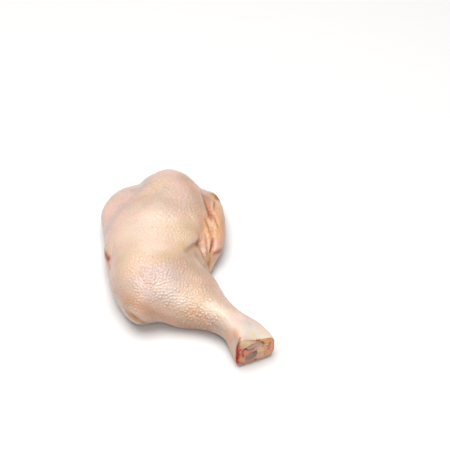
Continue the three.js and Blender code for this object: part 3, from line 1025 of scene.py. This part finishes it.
def tissueGroup():  # blotches and fine grain that any wet tissue has
    group = bpy.data.node_groups.new("tissue", "ShaderNodeTree")
    for way, kind, names in groupSockets:
        for name in names:
            group.interface.new_socket(name, in_out=way, socket_type=kind)
    inside = newNode(group, "NodeGroupInput")
    outside = newNode(group, "NodeGroupOutput")
    place = newNode(group, "ShaderNodeTexCoord")
    blotch = newNode(group, "ShaderNodeTexNoise", blotchShape)
    spread = newNode(group, "ShaderNodeMapRange", blotchSpread)
    amount = newNode(group, "ShaderNodeMath", operation="MULTIPLY")
    mixed = newNode(group, "ShaderNodeMix", data_type="RGBA")
    grain = newNode(group, "ShaderNodeTexNoise", grainShape)
    centred = newNode(group, "ShaderNodeMath", {1: 0.5}, operation="SUBTRACT")
    contrast = newNode(group, "ShaderNodeMath", {2: 1}, operation="MULTIPLY_ADD")
    shaded = newNode(group, "ShaderNodeVectorMath", operation="SCALE")
    rough = newNode(group, "ShaderNodeMath", {1: grainOnRoughness}, operation="MULTIPLY_ADD")
    linkAll(group, (
        (place, "Object", blotch, "Vector"),
        (inside, "Blotch scale", blotch, "Scale"),
        (blotch, "Fac", spread, "Value"),
        (spread, "Result", amount, 0),
        (inside, "Blotch amount", amount, 1),
        (amount, "Value", mixed, "Factor"),
        (inside, "Colour", mixed, 6),
        (inside, "Blotch colour", mixed, 7),
        (place, "Object", grain, "Vector"),
        (inside, "Grain scale", grain, "Scale"),
        (grain, "Fac", centred, 0),
        (centred, "Value", contrast, 0),
        (inside, "Grain contrast", contrast, 1),
        (mixed, 2, shaded, 0),
        (contrast, "Value", shaded, "Scale"),
        (shaded, "Vector", outside, "Colour"),
        (centred, "Value", rough, 0),
        (inside, "Roughness", rough, 2),
        (rough, "Value", outside, "Roughness"),
        (grain, "Fac", outside, "Height"),
    ))
    return group


tissue = tissueGroup()


def setSockets(node, sockets, values):
    for kind in sockets:
        for name, value in zip(sockets[kind], values.get(kind, ())):
            node.inputs[name].default_value = value


def newBump(tree, strength, height):  # height in mm
    return newNode(tree, "ShaderNodeBump", {"Strength": strength, "Distance": height * mm})


def wetMaterial(name):
    material = bpy.data.materials.new(name)
    material.use_nodes = True
    tree = material.node_tree
    shader = tree.nodes["Principled BSDF"]
    group = newNode(tree, "ShaderNodeGroup", node_tree=tissue)
    setSockets(group, tissueSockets, wetTissues[name])
    setSockets(shader, shaderSockets, wetTissues[name])
    bump = newBump(tree, *wetTissues[name]["bump"])
    linkAll(tree, (
        (group, "Colour", shader, "Base Color"),
        (group, "Roughness", shader, "Roughness"),
        (group, "Height", bump, "Height"),
        (bump, "Normal", shader, "Normal"),
    ))
    return material, group, bump


def tintedMaterial(name):  # the piece's own painted tint under the tissue's blotches
    material, group, _ = wetMaterial(name)
    tint = newNode(material.node_tree, "ShaderNodeAttribute", attribute_name="tint")
    linkAll(material.node_tree, ((tint, "Color", group, "Colour"),))
    return material


def maskShine(tree):  # the piece's own shine mask on the gloss of its shader
    shader = tree.nodes["Principled BSDF"]
    mask = newNode(tree, "ShaderNodeAttribute", attribute_name="shine")
    for key in ("Specular IOR Level", "Coat Weight"):
        full = shader.inputs[key].default_value
        product = newNode(tree, "ShaderNodeMath", {1: full}, operation="MULTIPLY")
        linkAll(tree, ((mask, "Fac", product, 0), (product, "Value", shader, key)))


def skinMaterial():  # tinted, with spots at the follicles and a fine net of creases between the cobbles
    material, group, bump = wetMaterial("rawSkin")
    tree = material.node_tree
    tint = newNode(tree, "ShaderNodeAttribute", attribute_name="tint")
    follicle = newNode(tree, "ShaderNodeAttribute", attribute_name="follicle")
    spot = newNode(tree, "ShaderNodeMix", data_type="RGBA")
    spot.inputs[7].default_value = skinPiece["spotColour"]
    soften = newNode(tree, "ShaderNodeMath", {1: skinPiece["spotAmount"]}, operation="MULTIPLY")
    place = newNode(tree, "ShaderNodeTexCoord")
    net = newNode(tree, "ShaderNodeTexVoronoi", feature="DISTANCE_TO_EDGE")
    net.inputs["Scale"].default_value = skinPiece["netScale"]
    flat = newNode(tree, "ShaderNodeMapRange", {"From Max": skinPiece["netFlat"]})
    netBump = newBump(tree, *skinPiece["netBump"])
    linkAll(tree, (
        (follicle, "Fac", soften, 0),
        (soften, "Value", spot, "Factor"),
        (tint, "Color", spot, 6),
        (spot, 2, group, "Colour"),
        (place, "Object", net, "Vector"),
        (net, "Distance", flat, "Value"),
        (flat, "Result", netBump, "Height"),
        (netBump, "Normal", bump, "Normal"),
    ))
    maskShine(tree)
    return material


# the meat
meatPiece = {
    "cell": 1.3,
    "overlap": 0.05,  # mm that it reaches into the skin
    "behindCut": 3,
    "edgeRound": 0.8,
}


def makeMeat():
    cell = meatPiece["cell"]
    low, sides = gridSides(cell)
    values = foldedValues(sides)
    for part, x, y, z in slicesOf(sides):
        inner = values[part] + skinThicknessAt(x, y) - meatPiece["overlap"]
        end = beyondCut(x, y) + meatPiece["behindCut"]
        values[part] = smoothMax(inner, end, meatPiece["edgeRound"])
    points, quads = surfaceOf(values, low, cell)
    piece = newPiece("meat", points, quads.tolist(), "meat")
    piece.data.materials.append(wetMaterial("rawMeat")[0])
    return piece


# the cut end: a thick slice with the flesh, fat and blood that show there
cutEndPiece = {
    "cell": 0.36,
    "thickness": 4,
    "setBack": 0.25,  # mm that the flesh stands back from the rim of the skin
    "unevenness": 0.25,
    "grainSizes": (2.6, 1.2),
    "overlap": 0.1,
    "edgeRound": 0.4,
    "toneScale": 0.72,
}
cutSides = ((-24.0, 13.0), (0.0, 31.0))  # across and up, in mm, as far as the cut face can reach
cutRoom = {"outward": 3, "margin": 1}
# picture points, reach in mm, and how far the flesh stands out there
cutShapes = (
    (((241.5, 342.5), (247, 343.6)), 2.0, 0.35),
    (((250, 348.6), (254, 346), (258.6, 343.4)), 2.0, -0.3),
    (((247.6, 349.2), (245, 350), (243, 352.2), (242.7, 355), (244, 357.4)), 0.75, -1.1),
    (((246.6, 353.2),), 2.0, 0.6),
    (((247.5, 349.8), (255, 349)), 0.8, -0.7),
    (((258, 340.6), (263, 340.2), (268.6, 341.4)), 1.3, 0.6),
    (((261.6, 341.9), (264, 344.2)), 0.7, -0.8),
    (((255.6, 347), (256.6, 352), (256, 359)), 0.9, -0.6),
    (((259.2, 356.6), (262, 355.6)), 2.2, 0.5),
    (((240.3, 351), (240.6, 358)), 1.5, 0.35),
    (((270.4, 343), (269.6, 349)), 0.7, -0.5),
    (((256, 361), (258.5, 360)), 0.9, -0.7),
)
cutStrokes = (
    (((243, 342), (249, 344.6)), 3.4, "fat", 1.0),
    (((243, 347), (244, 344)), 2.0, "tan", 0.5),
    (((246.6, 344.8),), 1.2, "yellowFat", 0.6),
    (((259, 346), (266, 347), (267, 354)), 5.6, "tan", 1.0),
    (((250, 348.6), (254, 346), (258.6, 343.4)), 2.3, "gristle", 1.0),
    (((258.7, 346),), 1.0, "yellowFat", 0.8),
    (((240.4, 351), (240.8, 358)), 2.0, "flesh", 0.9),
    (((241.5, 359), (245, 361.5)), 2.0, "tan", 0.8),
    (((246.6, 353.2),), 2.2, "pinkFlesh", 0.9),
    (((247, 349.9), (251, 349.8), (255, 349)), 0.8, "darkGristle", 0.9),
    (((249.5, 358), (253, 355.4)), 3.4, "blueGristle", 0.9),
    (((247.4, 349.2), (245, 350)), 0.7, "darkBlood", 0.95),
    (((245, 350), (243, 352.2), (242.7, 355), (244, 357.4)), 0.6, "brown", 0.6),
    (((241.2, 350.2), (239, 350.8)), 0.8, "blood", 0.8),
    (((239.4, 355),), 0.9, "blood", 0.7),
    (((258, 340.8), (263, 340.4), (268.6, 341.8)), 1.7, "amber", 1.0),
    (((257.4, 340.4), (259, 340.3)), 0.7, "brown", 0.8),
    (((261.8, 341.9), (264, 344.2)), 0.7, "darkBlood", 0.8),
    (((256.4, 347.5), (257, 353), (256, 358)), 1.6, "paleFlesh", 0.8),
    (((260.4, 347.6), (262.4, 349.6)), 1.3, "paleFlesh", 0.7),
    (((260, 351.6),), 2.2, "fat", 0.7),
    (((259.2, 356.5), (262, 355.4)), 1.8, "lilac", 0.9),
    (((270.2, 342.4), (269.6, 346), (268.6, 349.6)), 0.8, "blood", 0.75),
    (((267.4, 352), (264, 356.6)), 1.0, "flesh", 0.7),
    (((248.5, 364), (251, 362.4), (254, 361)), 1.3, "pinkFlesh", 0.9),
    (((255.6, 360), (260, 360.4), (266, 357.6)), 1.1, "brown", 0.8),
    (((241, 363), (245, 364.4)), 0.9, "olive", 0.8),
)


def cutRelief(points):  # how far the flesh stands out of its mean level
    lumps = sum(height * strokeWeight(path, reach, points) for path, reach, height in cutShapes)
    coarse, fine = cutEndPiece["grainSizes"]
    rough = softNoise(points, coarse, 8) + 0.5 * softNoise(points, fine, 9)
    return lumps + cutEndPiece["unevenness"] * rough


def cutGrid(cell, behind):  # a grid across the cut, outward and up, and its lowest corner
    (left, right), (bottom, top) = cutSides
    back, base = -behind - cutRoom["margin"], bottom - cutRoom["margin"]
    ranges = ((left, right), (back, cutRoom["outward"]), (base, top))
    sides = [np.arange(low, high, cell, dtype=np.float32) for low, high in ranges]
    return np.array([left, back, base]), sides


def makeCutEnd():
    cell = cutEndPiece["cell"]
    low, sides = cutGrid(cell, cutEndPiece["thickness"])
    across, up = np.meshgrid(sides[0], sides[2], indexing="ij")
    onPlane = fromCutPlace(across.ravel(), 0 * up.ravel(), up.ravel())
    front = (cutRelief(onPlane) - cutEndPiece["setBack"]).reshape(across.shape)[:, None, :]
    s, d, z = (side.astype(float) for side in np.meshgrid(*sides, indexing="ij"))
    places = fromCutPlace(s.ravel(), d.ravel(), z.ravel())
    body = (plainLeg(*places.T) + skinThicknessAt(places[:, 0], places[:, 1])).reshape(s.shape)
    slab = smoothMax(body - cutEndPiece["overlap"], d - front, cutEndPiece["edgeRound"])
    field = smoothMax(slab, -(d + cutEndPiece["thickness"]), cutEndPiece["edgeRound"])
    points, quads = surfaceOf(field, low, cell)
    places = fromCutPlace(*points.T)
    piece = newPiece("cutEnd", places, quads.tolist(), "meat")
    flat = laidOnCut(points)
    colour = evenTone(cutTones["flesh"], points)
    colour = painted(flat, painted(flat, colour, cutStrokes, cutTones), rimStrokes, cutTones)
    addValues(piece, "tint", colour * cutEndPiece["toneScale"])
    addValues(piece, "shine", shineAt(flat, cutStrokes + rimStrokes))
    piece.data.materials.append(tintedMaterial("cutFlesh"))
    maskShine(piece.data.materials[0].node_tree)
    return piece


# the gristly end of the shin bone, two knuckles side by side
bonePiece = {
    "cell": 0.45,
    "depth": 12,
    "standsOut": 0.8,
    "domeDepth": 2,
    "join": 0.8,
    # picture points along each knuckle, and its half width in mm
    "knuckles": (
        (((250.8, 347.6), (254, 345.8), (257.2, 344.2)), 3.0),
        (((249, 358.4), (251, 357), (253.4, 355)), 3.4),
    ),
}
boneStrokes = (
    (((250, 348.4), (254, 346), (258.6, 343.4)), 3.0, "gristle", 1.0),
    (((257, 344.4),), 1.6, "lilac", 0.5),
    (((249.4, 349.4), (254.5, 348)), 0.9, "darkGristle", 0.8),
    (((249, 358.6), (254, 354.6)), 3.6, "blueGristle", 1.0),
    (((248, 359.4), (250, 359.8)), 1.3, "gristle", 0.5),
    (((248.5, 354.4), (251, 353.4)), 1.3, "pinkFlesh", 0.5),
    (((254.6, 352.8), (255, 356)), 0.9, "darkGristle", 0.8),
)


def makeBone():
    cell = bonePiece["cell"]
    low, sides = cutGrid(cell, bonePiece["depth"])
    s, d, z = np.meshgrid(*sides, indexing="ij", sparse=True)
    field = None
    for path, wide in bonePiece["knuckles"]:
        spots = onCutFace(path)
        route = np.c_[spots[:, 0], 0 * spots[:, 0], spots[:, 1]]
        gap = np.sqrt(nearestOn(route, s, 0 * d, z)[0])
        dome = np.maximum(d - bonePiece["standsOut"] + bonePiece["domeDepth"], 0)
        here = np.sqrt(gap**2 + dome**2 * (wide / bonePiece["domeDepth"]) ** 2) - wide
        field = here if field is None else smoothMin(field, here, bonePiece["join"])
    field = np.maximum(field, -(d + bonePiece["depth"]))
    points, quads = surfaceOf(field, low, cell)
    piece = newPiece("shinBone", fromCutPlace(*points.T), quads.tolist(), "shin_bone")
    flat = laidOnCut(points)
    colour = evenTone(cutTones["gristle"], points)
    colour = painted(flat, colour, boneStrokes, cutTones)
    addValues(piece, "tint", colour * cutEndPiece["toneScale"])
    piece.data.materials.append(tintedMaterial("gristle"))
    return piece


# cut tendons: a pale sheath with a darker core, standing a little out of the flesh
tendonPiece = {
    "cell": 0.2,
    # picture point of the middle, half width and half height in mm, tone of the core
    "ends": (
        ((260, 351.6), 1.9, 1.15, "tendon"),
        ((267.2, 345.4), 1.2, 1.1, "olive"),
        ((262.6, 346), 0.6, 0.9, "brown"),
        ((265.5, 351.2), 0.55, 0.6, "olive"),
        ((264.4, 353), 0.45, 0.5, "brown"),
    ),
    "standsOut": 0.5,
    "rootDepth": 0.5,
    "behind": 2,
    "coreEdge": (0.75, 0.35),
}


def makeTendons():
    low, sides = cutGrid(tendonPiece["cell"], tendonPiece["behind"])
    s, d, z = np.meshgrid(*sides, indexing="ij", sparse=True)
    middles = onCutFace([end[0] for end in tendonPiece["ends"]])
    field = None
    for (across, height), (_, wide, tall, _) in zip(middles, tendonPiece["ends"]):
        out = (d + tendonPiece["rootDepth"]) / (tendonPiece["standsOut"] + tendonPiece["rootDepth"])
        mass = np.sqrt(((s - across) / wide) ** 2 + ((z - height) / tall) ** 2 + out**2)
        here = (mass - 1) * min(wide, tall)
        field = here if field is None else np.minimum(field, here)
    points, quads = surfaceOf(field, low, tendonPiece["cell"])
    colour = evenTone(cutTones["fat"], points)
    for (across, height), (_, wide, tall, tone) in zip(middles, tendonPiece["ends"]):
        gap = ((points[:, 0] - across) / wide) ** 2 + ((points[:, 2] - height) / tall) ** 2
        colour = blend(colour, cutTones[tone], smoothStep(*tendonPiece["coreEdge"], gap))
    piece = newPiece("tendonEnds", fromCutPlace(*points.T), quads.tolist(), "meat")
    addValues(piece, "tint", colour * cutEndPiece["toneScale"])
    piece.data.materials.append(tintedMaterial("tendon"))
    return piece


# floor and light
studio = {
    "floorHalf": 4,  # metres
    "floorTone": 0.62,
    "floorRoughness": 0.6,
    "skyTone": (1.0, 0.94, 0.9),
    "skyStrength": 0.5,
    # lamps: place and size in metres, and power
    "overhead": ((-0.15, -0.05, 1.5), 1.2, 29),
    "front": ((0.15, -0.95, 1.15), 0.4, 6),
}


def makeStage():
    mesh = bpy.data.meshes.new("floor")
    half = studio["floorHalf"]
    corners = [(-half, -half, 0), (half, -half, 0), (half, half, 0), (-half, half, 0)]
    mesh.from_pydata(corners, [], [(0, 1, 2, 3)])
    floor = addObject("floor", mesh)
    material = bpy.data.materials.new("paleFloor")
    material.use_nodes = True
    shader = material.node_tree.nodes["Principled BSDF"]
    shader.inputs["Base Color"].default_value = (studio["floorTone"],) * 3 + (1,)
    shader.inputs["Roughness"].default_value = studio["floorRoughness"]
    mesh.materials.append(material)
    for name in ("overhead", "front"):
        place, size, power = studio[name]
        light = bpy.data.lights.new(name, "AREA")
        light.shape = "DISK"
        light.size = size
        light.energy = power
        lamp = addObject(name, light)
        lamp.location = place
        lamp.rotation_euler = (-Vector(place)).to_track_quat("-Z", "Y").to_euler()
    world = bpy.data.worlds.new("world")
    world.use_nodes = True
    world.node_tree.nodes["Background"].inputs[0].default_value = studio["skyTone"] + (1,)
    world.node_tree.nodes["Background"].inputs[1].default_value = studio["skyStrength"]
    bpy.context.scene.world = world
    bpy.context.scene.view_settings.view_transform = "Standard"


makeCamera()
placeFolds()
say("folds placed")
makeSkin()
makeMeat()
makeCutEnd()
makeBone()
makeTendons()
makeStage()
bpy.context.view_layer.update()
say("done")
